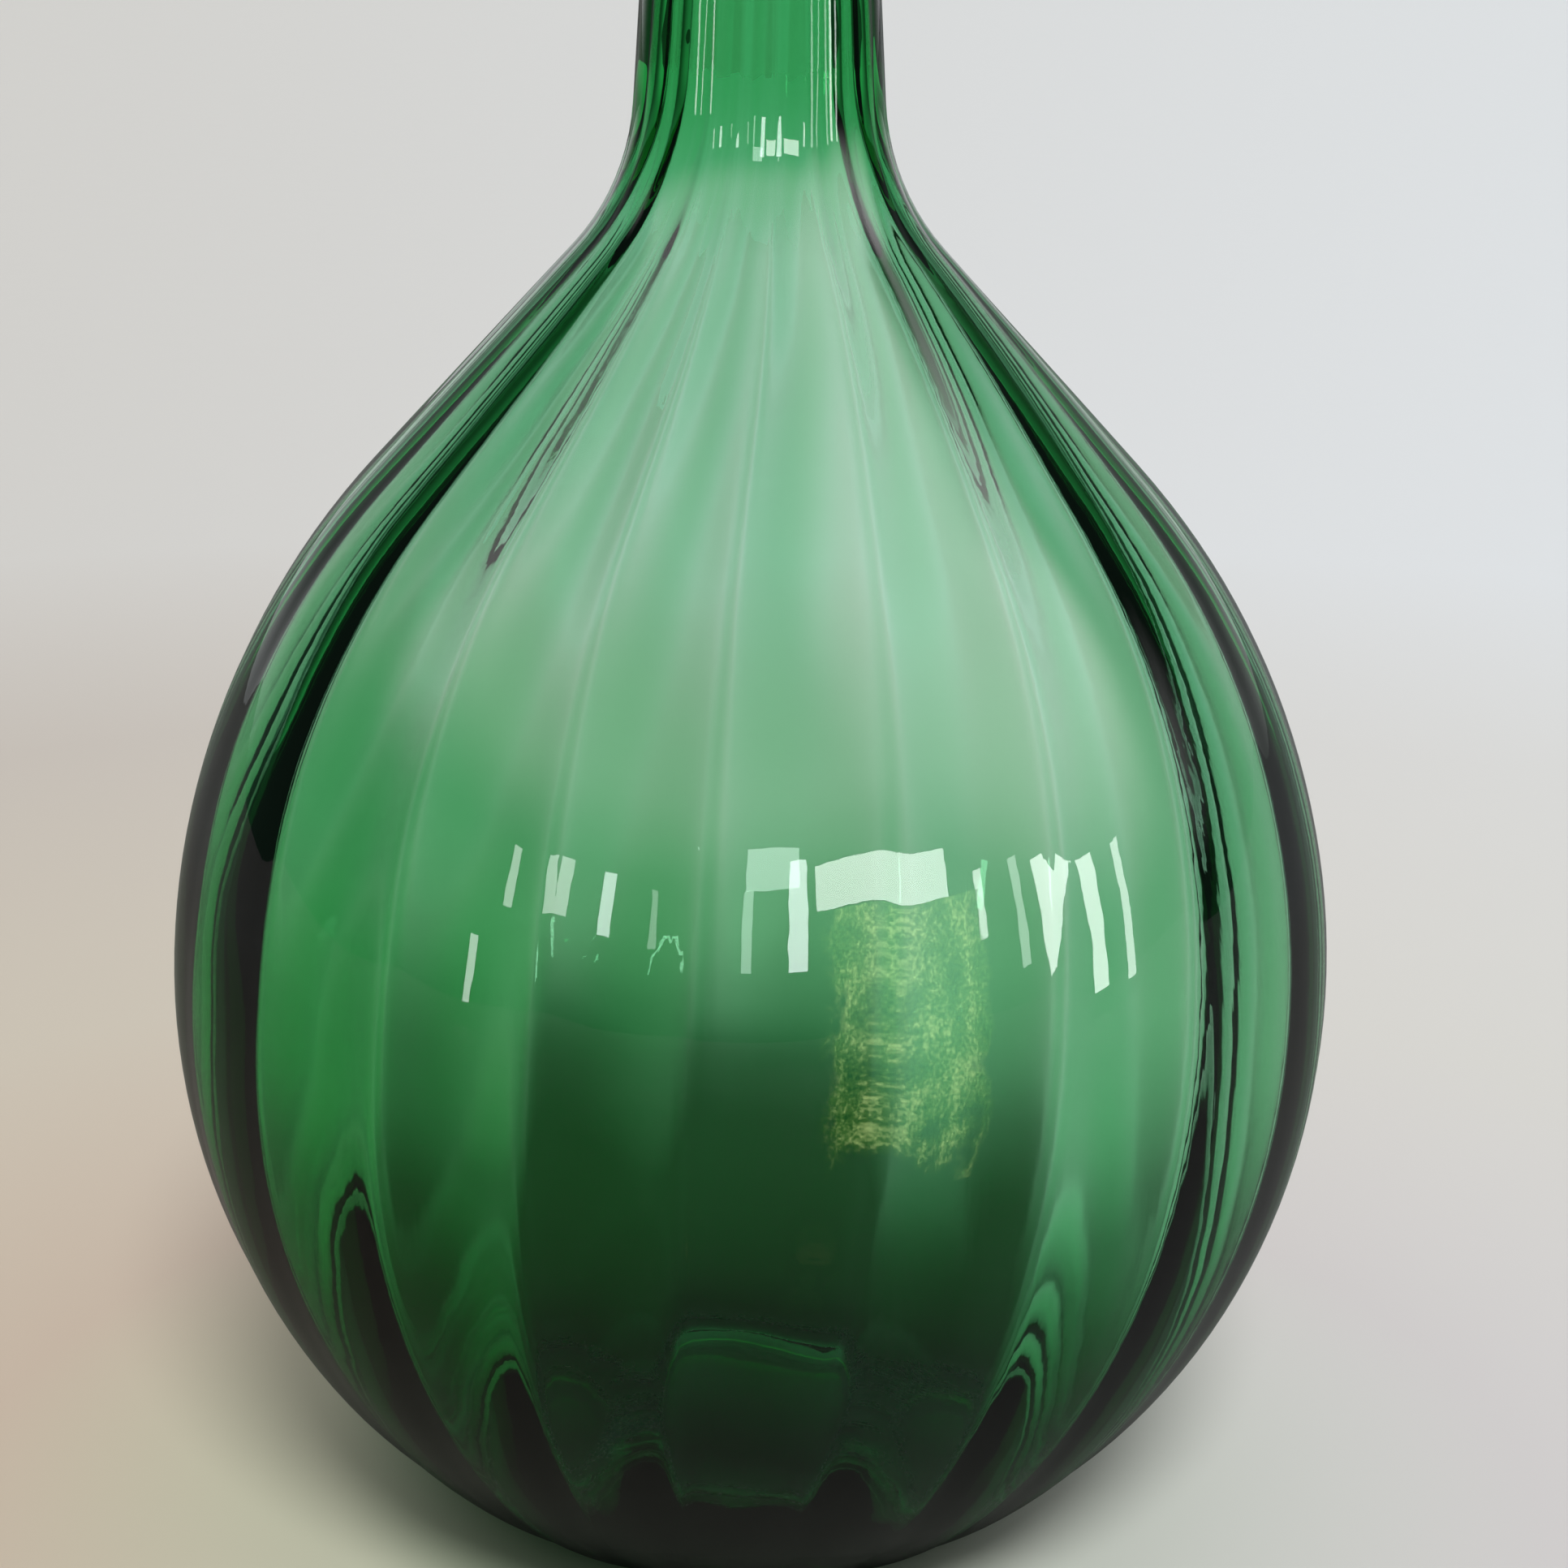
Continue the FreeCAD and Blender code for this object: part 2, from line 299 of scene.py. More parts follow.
class Net:
    """A node tree that nodes are added to."""

    def __init__(self, tree):
        self.tree = tree

    @staticmethod
    def find(sockets, name):
        if isinstance(name, int):
            return sockets[name]
        return next(socket for socket in sockets if socket.name == name and socket.enabled)

    def add(self, kind, settings=None, inputs=None):
        """A node of a type, with its settings made first and then its sockets' values or links."""
        node = self.tree.nodes.new(kind)
        for name, setting in (settings or {}).items():
            if name == "stops":
                self.set_stops(node.color_ramp, setting)
            else:
                setattr(node, name, setting)
        for name, given in (inputs or {}).items():
            socket = self.find(node.inputs, name)
            if isinstance(given, Value):
                self.tree.links.new(given.socket, socket)
            else:
                socket.default_value = given
        outputs = [socket for socket in node.outputs if socket.enabled]
        return Value(self, node, outputs[0] if outputs else None)

    @staticmethod
    def set_stops(ramp, stops):
        while len(ramp.elements) < len(stops):
            ramp.elements.new(1)
        for element, (place, colour) in zip(ramp.elements, stops):
            element.position = place
            element.color = colour

    def mix(self, factor, first, second):
        """A colour between two others."""
        inputs = {0: factor, 6: first, 7: second}
        return self.add("ShaderNodeMix", {"data_type": "RGBA"}, inputs).out("Result")

    def vector(self, operation, *given):
        kind = {"operation": operation}
        return self.add("ShaderNodeVectorMath", kind, dict(enumerate(given)))

    def length(self, vector):
        return self.vector("LENGTH", vector).out("Value")

    def split(self, vector):
        """A vector's numbers, by the names X, Y and Z."""
        return self.add("ShaderNodeSeparateXYZ", None, {0: vector})

    def ramp(self, factor, stops):
        return self.add("ShaderNodeValToRGB", {"stops": stops}, {"Fac": factor})

    def noise(self, place, scale, detail, **others):
        inputs = {"Vector": place, "Scale": scale, "Detail": detail, **others}
        return self.add("ShaderNodeTexNoise", None, inputs)

    def own_place(self):
        """The place on a piece, in the piece's own coordinates."""
        return self.add("ShaderNodeTexCoord").out("Object")


def new_object(name, data):
    """An object in the scene that holds the data."""
    made = bpy.data.objects.new(name, data)
    bpy.context.scene.collection.objects.link(made)
    return made


def flat_panel(name, corners, material):
    """A single face with four corners."""
    mesh = bpy.data.meshes.new(name)
    mesh.from_pydata(corners, [], [(0, 1, 2, 3)])
    mesh.materials.append(material)
    return new_object(name, mesh)


# ---- Half sections ------------------------------------------------------------------------------
def direction(degrees):
    """Outward direction that rises by so many degrees from level, as radius and height."""
    return Vector((math.cos(math.radians(degrees)), math.sin(math.radians(degrees))))


def elevation(vector):
    return math.degrees(math.atan2(vector.y, vector.x))


def arc(centre, radius, start, end, spans, hollow=False):
    """Points of an arc with their outward normals, which point to the centre where it is hollow.

    It goes from the start to the end, in degrees round its centre."""
    points = []
    for index in range(spans + 1):
        way = direction(start + (end - start) * index / spans)
        points.append((centre + way * radius, -way if hollow else way))
    return points


def straight(start, end, spans):
    """Points of a line with their normals, on the right of the way that the line goes."""
    way = (end - start).normalized()
    normal = Vector((way.y, -way.x))
    return [(start.lerp(end, index / spans), normal) for index in range(spans + 1)]


def chained(*stretches):
    """One half section from stretches that meet, without their doubled points."""
    chain = []
    for stretch in stretches:
        for place, normal in stretch:
            if chain and (place - chain[-1][0]).length < 1e-6:
                continue
            chain.append((place, normal))
    return chain


def sweep_centre(upper_centre, wall, neck_place, radius):
    """Centre of the arc tangent to the shoulder, a wall's depth in, and to the neck's side."""
    shoulder = direction(SHOULDER_ANGLE)
    neck = direction(NECK_TAPER)
    reach = Vector((
        UPPER_ARC_RADIUS - wall + radius + upper_centre.dot(shoulder),
        radius + neck_place.dot(neck),
    ))
    return Matrix((shoulder, neck)).inverted() @ reach


def meeting_of_circles(first, first_radius, second, second_radius):
    """The crossing of two circles that lies further from the axis."""
    span = second - first
    distance = span.length
    along = (distance ** 2 + first_radius ** 2 - second_radius ** 2) / (2 * distance)
    across = math.sqrt(first_radius ** 2 - along ** 2)
    unit = span / distance
    side = Vector((-unit.y, unit.x)) * across
    return max(first + unit * along + side, first + unit * along - side, key=lambda place: place.x)


FOOT_ANGLE = math.degrees(math.acos(
    (FOOT_RING_RADIUS - BODY_RADIUS + LOWER_ARC_RADIUS) / (LOWER_ARC_RADIUS - FOOT_OUTER_EDGE)))
BELLY = FOOT_OUTER_EDGE + (LOWER_ARC_RADIUS - FOOT_OUTER_EDGE) * direction(FOOT_ANGLE).y
LOWER_CENTRE = Vector((BODY_RADIUS - LOWER_ARC_RADIUS, BELLY))
UPPER_CENTRE = Vector((BODY_RADIUS - UPPER_ARC_RADIUS, BELLY))


def neck_end():
    """End of the neck's outside: its root, carried up along the taper."""
    sweep_x = NECK_ROOT_RADIUS + NECK_ARC_RADIUS * direction(NECK_TAPER).x
    shoulder = direction(SHOULDER_ANGLE)
    reach = NECK_ARC_RADIUS + UPPER_ARC_RADIUS + UPPER_CENTRE.dot(shoulder)
    centre = Vector((sweep_x, (reach - sweep_x * shoulder.x) / shoulder.y))
    root = centre - direction(NECK_TAPER) * NECK_ARC_RADIUS
    rise = NECK_END - root.y
    return root, root + Vector((-rise * math.tan(math.radians(NECK_TAPER)), rise))


def outside_section(root, end):
    """The bottle's outside, from the axis under the base up to the ring on the neck."""
    edge = FOOT_RING_RADIUS - FOOT_RING_WIDTH
    dome_radius = (edge ** 2 + KICK_UP_HEIGHT ** 2) / (2 * KICK_UP_HEIGHT) - FOOT_INNER_EDGE
    dome_centre = Vector((0, KICK_UP_HEIGHT - dome_radius))
    edge_centre = Vector((edge, FOOT_INNER_EDGE))
    dome_edge = elevation(edge_centre - dome_centre)
    foot_centre = Vector((FOOT_RING_RADIUS, FOOT_OUTER_EDGE))
    neck_sweep = sweep_centre(UPPER_CENTRE, 0, root, NECK_ARC_RADIUS)
    shoulder_end = neck_sweep - direction(SHOULDER_ANGLE) * NECK_ARC_RADIUS
    shoulder_start = UPPER_CENTRE + direction(SHOULDER_ANGLE) * UPPER_ARC_RADIUS
    weld_height = NECK_END - LIP_WELD
    weld_x = end.x + LIP_WELD * math.tan(math.radians(NECK_TAPER)) + LIP_WELD / direction(NECK_TAPER).x
    weld_centre = Vector((weld_x, weld_height))
    return dome_centre, dome_radius, chained(
        arc(dome_centre, dome_radius, 90, dome_edge, 9, hollow=True),
        arc(edge_centre, FOOT_INNER_EDGE, dome_edge + 180, 270, 5),
        straight(edge_centre, Vector((FOOT_RING_RADIUS, 0)), 1)[1:],
        arc(foot_centre, FOOT_OUTER_EDGE, -90, -FOOT_ANGLE, 4),
        arc(LOWER_CENTRE, LOWER_ARC_RADIUS, -FOOT_ANGLE, 0, 30),
        arc(UPPER_CENTRE, UPPER_ARC_RADIUS, 0, SHOULDER_ANGLE, 24),
        straight(shoulder_start, shoulder_end, 11),
        arc(neck_sweep, NECK_ARC_RADIUS, SHOULDER_ANGLE + 180, NECK_TAPER + 180, 10, hollow=True),
        straight(root, weld_centre - direction(NECK_TAPER) * LIP_WELD, 12),
        arc(weld_centre, LIP_WELD, NECK_TAPER + 180, 90, 4, hollow=True),
    )


def mouth_radius(bore, height):
    """Radius of the tapered mouth, so far above the end of the neck."""
    return bore + height * math.tan(math.radians(BUNG_TAPER))


def lip_section(bore):
    """The ring laid round the neck's end, from its underside over the rim and down into the mouth."""
    low = Vector((LIP_RADIUS - LIP_OUTER_EDGE, NECK_END + LIP_OUTER_EDGE))
    high = Vector((LIP_RADIUS - LIP_OUTER_EDGE, RIM - LIP_OUTER_EDGE))
    rim_height = RIM - LIP_MOUTH_EDGE
    rim_x = mouth_radius(bore, rim_height - NECK_END) + LIP_MOUTH_EDGE / direction(BUNG_TAPER).x
    rim_centre = Vector((rim_x, rim_height))
    rim_end = rim_centre + direction(180 - BUNG_TAPER) * LIP_MOUTH_EDGE
    return chained(
        arc(low, LIP_OUTER_EDGE, -90, 0, 8),
        arc(high, LIP_OUTER_EDGE, 0, 90, 8),
        arc(rim_centre, LIP_MOUTH_EDGE, 90, 180 - BUNG_TAPER, 5),
        straight(rim_end, Vector((bore, NECK_END)), 5),
    )


def inside_section(end, dome_centre, dome_radius):
    """The bottle's inside, from the neck's end down to the axis over the kick-up."""
    bore_end = end - Vector((NECK_WALL, 0))
    lower_centre = Vector((BODY_RADIUS - BODY_WALL - INNER_LOWER_RADIUS, BELLY))
    upper_radius = UPPER_ARC_RADIUS - BODY_WALL
    floor_radius = dome_radius + FLOOR_THICKNESS
    heel = meeting_of_circles(
        dome_centre, floor_radius + HEEL_RADIUS, lower_centre, INNER_LOWER_RADIUS - HEEL_RADIUS)
    floor_edge = elevation(heel - dome_centre)
    heel_angle = elevation(heel - lower_centre)
    sweep = sweep_centre(UPPER_CENTRE, BODY_WALL, bore_end, INNER_NECK_ARC_RADIUS)
    sweep_end = sweep - direction(NECK_TAPER) * INNER_NECK_ARC_RADIUS
    shoulder_start = sweep - direction(SHOULDER_ANGLE) * INNER_NECK_ARC_RADIUS
    shoulder_end = UPPER_CENTRE + direction(SHOULDER_ANGLE) * upper_radius
    return chained(
        straight(bore_end, sweep_end, 10),
        arc(sweep, INNER_NECK_ARC_RADIUS, NECK_TAPER + 180, SHOULDER_ANGLE + 180, 10),
        straight(shoulder_start, shoulder_end, 11),
        arc(UPPER_CENTRE, upper_radius, SHOULDER_ANGLE, 0, 22, hollow=True),
        arc(lower_centre, INNER_LOWER_RADIUS, 0, heel_angle, 24, hollow=True),
        arc(heel, HEEL_RADIUS, heel_angle, floor_edge - 180, 10, hollow=True),
        arc(dome_centre, floor_radius, floor_edge, 90, 8),
    )


def ease(value, low, high):
    """0 below low, 1 above high, smooth between."""
    share = min(max((value - low) / (high - low), 0), 1)
    return share * share * (3 - 2 * share)


def rib_share(place):
    """How far the ribs are raised: fully on the wall, less on the neck, not at the base or the lip."""
    if place.y < BELLY:
        return ease(place.x, RIBS_INNER, RIBS_OUTER)
    drawn_out = 1 - (1 - NECK_RIB_SHARE) * ease(place.y, TWIST_FROM, TWIST_TO)
    return drawn_out * (1 - ease(place.y, NECK_END - RIBS_END, NECK_END))


def thick_share(place):
    """How much of the extra glass the wall has: all of it low down, and none on the shoulder."""
    return (1 - ease(place.y, THICK_FROM, THICK_TO)) * ease(place.x, THICK_INNER, THICK_OUTER)


def section_object(name, rows):
    """A chain of vertices that carries each row's outward normal, its rib height and its extra glass."""
    mesh = bpy.data.meshes.new(name)
    vertices = [(place.x, 0, place.y) for place, _, _, _ in rows]
    mesh.from_pydata(vertices, [(i, i + 1) for i in range(len(rows) - 1)], [])
    for label, kind in (("outward", "FLOAT_VECTOR"), ("rib", "FLOAT"), ("extra", "FLOAT")):
        mesh.attributes.new(label, kind, "POINT")
    outward, rib, extra = (mesh.attributes[label] for label in ("outward", "rib", "extra"))
    for index, (_, normal, height, thickness) in enumerate(rows):
        outward.data[index].vector = (normal.x, 0, normal.y)
        rib.data[index].value = height
        extra.data[index].value = thickness
    return new_object(name, mesh)


# ---- Turning a half section into a surface ------------------------------------------------------
def turning_tree(name, material, floats, shape_row):
    """A geometry tree that turns a half section about Z.

    shape_row gets the net, the tree's inputs, the angle, the place in the half section and in space,
    and the row's rib height and extra glass. It returns how far the surface stands out there."""
    tree = bpy.data.node_groups.new(name, "GeometryNodeTree")
    tree.interface.new_socket("Geometry", in_out="INPUT", socket_type="NodeSocketGeometry")
    tree.interface.new_socket("Geometry", in_out="OUTPUT", socket_type="NodeSocketGeometry")
    tree.interface.new_socket("Segments around", in_out="INPUT", socket_type="NodeSocketInt")
    for label, start in floats.items():
        socket = tree.interface.new_socket(label, in_out="INPUT", socket_type="NodeSocketFloat")
        socket.default_value = start
    net = Net(tree)
    given = net.add("NodeGroupInput")
    section = given.out("Geometry")
    segments = given.out("Segments around")
    columns = segments + 1
    rows = net.add("GeometryNodeAttributeDomainSize", None, {"Geometry": section}).out("Point Count")
    grid = net.add("GeometryNodeMeshGrid", None, {"Vertices X": rows, "Vertices Y": columns})
    index = net.add("GeometryNodeInputIndex")
    row = (index / columns + 0.0001).floor()
    angle = (index - row * columns) * (2 * math.pi) / segments - math.pi

    def sampled(kind, value):
        sample = {"data_type": kind, "domain": "POINT"}
        inputs = {"Geometry": section, "Value": value, "Index": row}
        return net.add("GeometryNodeSampleIndex", sample, inputs)

    def named(kind, label):
        return net.add("GeometryNodeInputNamedAttribute", {"data_type": kind}, {"Name": label})

    place = sampled("FLOAT_VECTOR", net.add("GeometryNodeInputPosition"))
    outward = sampled("FLOAT_VECTOR", named("FLOAT_VECTOR", "outward"))
    rib = sampled("FLOAT", named("FLOAT", "rib"))
    extra = sampled("FLOAT", named("FLOAT", "extra"))
    turn_sine = angle.sin()
    turn_cosine = angle.cos()

    def turned(flat):
        """A place of the half section, turned by the angle; angle 0 is the front."""
        apart = net.split(flat)
        radius = apart.out("X")
        spot = {0: radius * turn_sine, 1: radius * turn_cosine * -1, 2: apart.out("Z")}
        return net.add("ShaderNodeCombineXYZ", None, spot)

    spot = turned(place)
    stand_out = shape_row(net, given, angle, net.split(place), spot, rib, extra)
    moved = net.vector("MULTIPLY_ADD", turned(outward), stand_out, spot)
    shaped = net.add("GeometryNodeSetPosition", None, {"Geometry": grid, "Position": moved})
    merged = net.add("GeometryNodeMergeByDistance", None, {"Geometry": shaped, "Distance": 1e-6})
    outwards = net.add("GeometryNodeFlipFaces", None, {"Mesh": merged})
    smooth = net.add("GeometryNodeSetShadeSmooth", None, {"Geometry": outwards})
    realized = net.add("GeometryNodeRealizeInstances", None, {"Geometry": smooth})
    painted = net.add("GeometryNodeSetMaterial", None, {"Geometry": realized, "Material": material})
    net.add("NodeGroupOutput", None, {0: painted})
    return tree


def made_piece(name, section, tree, inputs, body, slot, *nodes):
    """The plain mesh that a tree makes of a half section, riding on its body for its CAD nodes."""
    modifier = section.modifiers.new("turning", "NODES")
    modifier.node_group = tree
    for item in tree.interface.items_tree:
        if item.item_type == "SOCKET" and item.in_out == "INPUT" and item.name in inputs:
            modifier[item.identifier] = inputs[item.name]
    evaluated = section.evaluated_get(bpy.context.evaluated_depsgraph_get())
    mesh = bpy.data.meshes.new_from_object(evaluated)
    mesh.name = name
    # The tree's mesh comes with an empty slot before the material's own.
    finish = next(material for material in mesh.materials if material)
    mesh.materials.clear()
    mesh.materials.append(finish)
    mesh.polygons.foreach_set("material_index", [0] * len(mesh.polygons))
    piece = new_object(name, mesh)
    bpy.data.objects.remove(section)
    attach(piece, body)
    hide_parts(*nodes)
    return piece


def ribbed_wall(net, given, angle, flat, spot, rib, extra):
    """How far the glass stands out: optic ribs with creases between them, slow waves and a thick side."""
    height = flat.out("Z")
    drawn = height.step(TWIST_FROM, TWIST_TO) * math.radians(SHOULDER_TWIST)
    twist = height * math.radians(RIB_LEAN) + drawn + math.radians(RIB_START)
    crowding = (RIB_CROWDING - height * RIB_EVENING).math("MAXIMUM", 0)
    uneven = angle.sin() * crowding
    for number, start, reach in RIB_WANDER:
        uneven = uneven + (angle * number + start).sin() * reach
    phase = (angle - twist + uneven) * (RIBS / 2)
    crown = (phase.cos() * phase.cos() + CREASE_WIDTH ** 2).sqrt()
    mean_crown = 2 / math.pi
    slow = (net.noise(spot, given.out("Wave scale"), 1.0) - 0.5) * given.out("Wave height")
    thick_side = (1 - (angle + THICK_TURN).sin()) * 0.5
    return (crown - mean_crown) * rib + slow * (flat.out("X") * WAVE_FADE).clamp() + extra * thick_side


def glass_bottle(material):
    """The whole of the glass as one closed skin: ribbed bottle, kick-up and melted-on lip ring."""
    root, end = neck_end()
    dome_centre, dome_radius, outside = outside_section(root, end)
    inside = inside_section(end, dome_centre, dome_radius)
    lip = lip_section(end.x - NECK_WALL)
    rows = [(place, normal, OUTER_RIB * rib_share(place), 0) for place, normal in outside]
    rows += [(place, normal, 0, 0) for place, normal in lip]
    rows += [(place, normal, INNER_RIB * rib_share(place), THICK_SIDE * thick_share(place))
             for place, normal in inside[1:]]
    section = section_object("bottle_section", rows)
    sizes = {"Wave scale": WAVE_SCALE, "Wave height": WAVE_HEIGHT}
    tree = turning_tree("ribbed bottle", material, sizes, ribbed_wall)
    return made_piece("glass_bottle", section, tree, {"Segments around": BOTTLE_SEGMENTS, **sizes},
                      "bottle", "green_glass", "glass_vessel", "lip_ring")


def open_pores(net, place, scale, edge):
    """1 in the bark's pores that are cut open, and 0 from their outer edge on."""
    cells = net.add("ShaderNodeTexVoronoi", None, {"Vector": place, "Scale": scale})
    picked = (net.noise(place, PORE_PICK_SCALE, 2.0) - 0.5).step(*PORE_PICK_EDGE)
    return (1 - cells.out("Distance").step(*edge)) * picked


def pitted_cork(net, given, angle, flat, spot, rib, extra):
    """How far the cork stands out: fine grain, with pits where pores are cut open."""
    pits = open_pores(net, spot, given.out("Pore scale"), PIT_EDGE)
    grain = (net.noise(spot, GRAIN_SCALE, 2.0) - 0.5) * GRAIN_DEPTH
    return (grain - pits * given.out("Pore depth")) * rib


def cork_bung(material, bore):
    """The bored cork in the mouth, which is as wide as the bore at its bottom."""
    def side(height):
        return mouth_radius(bore, height - NECK_END) - BUNG_CLEARANCE

    tip_centre = Vector((side(BUNG_TIP + BUNG_TIP_EDGE) - BUNG_TIP_EDGE, BUNG_TIP + BUNG_TIP_EDGE))
    top_centre = Vector((side(BUNG_TOP - BUNG_TOP_EDGE) - BUNG_TOP_EDGE, BUNG_TOP - BUNG_TOP_EDGE))
    side_start = tip_centre + direction(-BUNG_TAPER) * BUNG_TIP_EDGE
    side_end = top_centre + direction(-BUNG_TAPER) * BUNG_TOP_EDGE
    bore_top = Vector((STEM_BORE_RADIUS, BUNG_TOP))
    bore_tip = Vector((STEM_BORE_RADIUS, BUNG_TIP))
    chain = chained(
        straight(bore_tip, Vector((tip_centre.x, BUNG_TIP)), 14),
        arc(tip_centre, BUNG_TIP_EDGE, -90, -BUNG_TAPER, 3),
        straight(side_start, side_end, 56),
        arc(top_centre, BUNG_TOP_EDGE, -BUNG_TAPER, 90, 5),
        straight(Vector((top_centre.x, BUNG_TOP)), bore_top, 20),
        straight(bore_top, bore_tip, 40)[:-1],
    )
    chain.append(chain[0])
    section = section_object("bung_section", [(place, normal, 1.0, 0) for place, normal in chain])
    sizes = {"Pore scale": PORE_SCALE, "Pore depth": PORE_DEPTH}
    tree = turning_tree("pitted cork", material, sizes, pitted_cork)
    return made_piece("cork_bung", section, tree, {"Segments around": BUNG_SEGMENTS, **sizes},
                      "bung", "cork", "bung")


# ---- Materials ----------------------------------------------------------------------------------
def new_material(name):
    material = bpy.data.materials.new(name)
    material.use_nodes = True
    material.node_tree.nodes.clear()
    return material, Net(material.node_tree)


def green_glass():
    """Bottle glass that takes its green from the light's way through it."""
    material, net = new_material("blown_glass")
    place = net.own_place()
    scuffs = net.noise(place, SCUFF_SCALE, 3.0).step(*SCUFF_EDGE)
    worn = (1 - net.split(place).out("Z").step(*FOOT_WEAR_HEIGHT)) * scuffs
    ripple = net.noise(place, RIPPLE_SCALE, 1.0)
    drawn = net.add("ShaderNodeMapping", None, {"Vector": place, "Scale": STREAK_STRETCH})
    streaks = net.noise(drawn, STREAK_SCALE, 2.0)
    bump = net.add("ShaderNodeBump", None, {
        "Strength": RIPPLE_STRENGTH, "Distance": MM, "Height": ripple + streaks * STREAK_SHARE})
    surface = net.add("ShaderNodeBsdfPrincipled", None, {
        "Base Color": (1, 1, 1, 1), "Roughness": worn * FOOT_WEAR, "IOR": GLASS_IOR,
        "Transmission Weight": 1.0, "Normal": bump})
    inside = net.add("ShaderNodeVolumeAbsorption", None, {"Color": GLASS_TINT, "Density": GLASS_DENSITY})
    net.add("ShaderNodeOutputMaterial", None, {"Surface": surface, "Volume": inside})
    return material


def natural_cork():
    """Cork: warm, matt, mottled, with dark pores, and a painted glow where glass is over it."""
    material, net = new_material("bark_cork")
    place = net.own_place()
    mottle = net.noise(place, MOTTLE_SCALE, 5.0, Roughness=0.6)
    pores = open_pores(net, place, PORE_SCALE, DARK_PORE_EDGE)
    colour = net.mix(pores, net.ramp(mottle, CORK_TONES), PORE_TONE)
    grain = net.noise(place, FINE_GRAIN_SCALE, 3.0)
    bump = net.add("ShaderNodeBump", None, {
        "Strength": FINE_GRAIN_STRENGTH, "Distance": FINE_GRAIN_DEPTH, "Height": grain + mottle})
    # painted light: the cork glows in its own colour where it is seen through glass
    through_glass = net.add("ShaderNodeLightPath").out("Transmission Depth").clamp()
    glow = net.mix(through_glass * CORK_PAINTED_LIGHT, (0, 0, 0, 1), colour)
    roughness = mottle * CORK_ROUGHNESS_MOTTLE + CORK_ROUGHNESS
    surface = net.add("ShaderNodeBsdfPrincipled", None, {
        "Base Color": colour, "Roughness": roughness, "Normal": bump,
        "Specular IOR Level": CORK_GLOSS, "Emission Color": glow, "Emission Strength": 1.0})
    net.add("ShaderNodeOutputMaterial", None, {"Surface": surface})
    return material


def pale_table():
    """The pale floor, warmer to the left, with painted green light close by, a painted shadow behind the
    bottle and painted shade where the glass mirrors it.
    """
    material, net = new_material("pale_table")
    place = net.own_place()
    away = net.length(place)
    sideways = net.split(place).out("X") / (away + TABLE_TURN_SOFT)
    colour = net.mix(sideways.step(-TABLE_TURN, TABLE_TURN),
                     net.ramp(away, TABLE_LEFT), net.ramp(away, TABLE_RIGHT))
    # painted shadow: the table's colour turns dark green in an ellipse behind the bottle
    from_painted_shadow = net.vector("MULTIPLY", net.vector("SUBTRACT", place, PAINTED_SHADOW_MIDDLE), PAINTED_SHADOW_SPREAD)
    colour = net.mix(1 - net.length(from_painted_shadow).step(*PAINTED_SHADOW_EDGE), colour, PAINTED_SHADOW_COLOUR)
    # painted shade: the table is darker wherever the glass mirrors it
    mirrored = net.add("ShaderNodeLightPath").out("Glossy Depth").clamp()
    colour = net.mix(mirrored * TABLE_MIRRORED_SHARE, colour, TABLE_MIRRORED)
    roughness = net.noise(place, TABLE_GRAIN_SCALE, 3.0) * TABLE_ROUGHNESS_GRAIN + TABLE_ROUGHNESS
    surface = net.add("ShaderNodeBsdfPrincipled", None, {
        "Base Color": colour, "Roughness": roughness, "Specular IOR Level": TABLE_GLOSS})
    net.add("ShaderNodeOutputMaterial", None, {"Surface": surface})
    return material


# ---- Setting, light and camera ------------------------------------------------------------------
def table():
    """A large pale floor under the bottle."""
    half = TABLE_HALF
    corners = [(-half, -half, 0), (half, -half, 0), (half, half, 0), (-half, half, 0)]
    made = flat_panel("table", corners, pale_table())


def room_light():
    """What rays meet beyond the table.

    A ray that comes straight or through the glass sees the pale backdrop. One that the glass
    reflects sees a dim room with a pale wall behind, and if it hasn't been through the glass, also a
    bright ceiling, the brightness over the windows and the side wall. Others find a soft light."""
    world = bpy.data.worlds.new("room")
    bpy.context.scene.world = world
    world.use_nodes = True
    world.node_tree.nodes.clear()
    net = Net(world.node_tree)
    path = net.add("ShaderNodeLightPath")
    facing = net.add("ShaderNodeTexCoord").out("Generated")
    way = net.split(facing)
    back = way.out("Y")
    up = way.out("Z")
    reflected = path.out("Glossy Depth").clamp()
    seen = (path.out("Is Camera Ray") + path.out("Is Transmission Ray") * (1 - reflected)).clamp()
    outer = 1 - path.out("Transmission Depth").clamp()
    beside = net.vector("DOT_PRODUCT", facing, SIDE_WALL).out("Value").step(*SIDE_WALL_EDGE)
    beside = beside * outer * path.out("Is Singular Ray") * (1 - back.step(*SIDE_WALL_BACK))
    behind = back.step(*BACK_EDGE) * (1 - up.step(*BACK_RISE) * BACK_DARKER)
    over = up.step(*OVER_EDGE) * outer * (1 - back.step(*OVER_BACK))
    room = net.mix(behind, DIM_ROOM, BACKDROP)
    room = net.mix(over, room, OVER_WINDOWS)
    room = net.mix(up.step(*CEILING_EDGE) * outer, room, CEILING)
    room = net.mix(beside, room, BRIGHT_SIDE)
    soft = net.mix(up.step(*SOFT_EDGE), SOFT_LEVEL, SOFT_OVERHEAD)
    colour = net.mix(seen, net.mix(reflected, soft, room), BACKDROP)
    glow = net.add("ShaderNodeBackground", None, {"Color": colour, "Strength": 1.0})
    net.add("ShaderNodeOutputWorld", None, {"Surface": glow})


def soft_key():
    """The main light: broad and soft, from high over the camera, so that the shadow falls back."""
    light = bpy.data.lights.new("key", "SUN")
    light.angle = math.radians(KEY_WIDTH)
    light.energy = KEY_LEVEL * math.pi / math.sin(math.radians(KEY_HEIGHT))
    made = new_object("key", light)
    made.rotation_euler = (math.radians(90 - KEY_HEIGHT), 0, math.radians(KEY_SIDE))
    made.visible_glossy = False
    made.visible_transmission = False


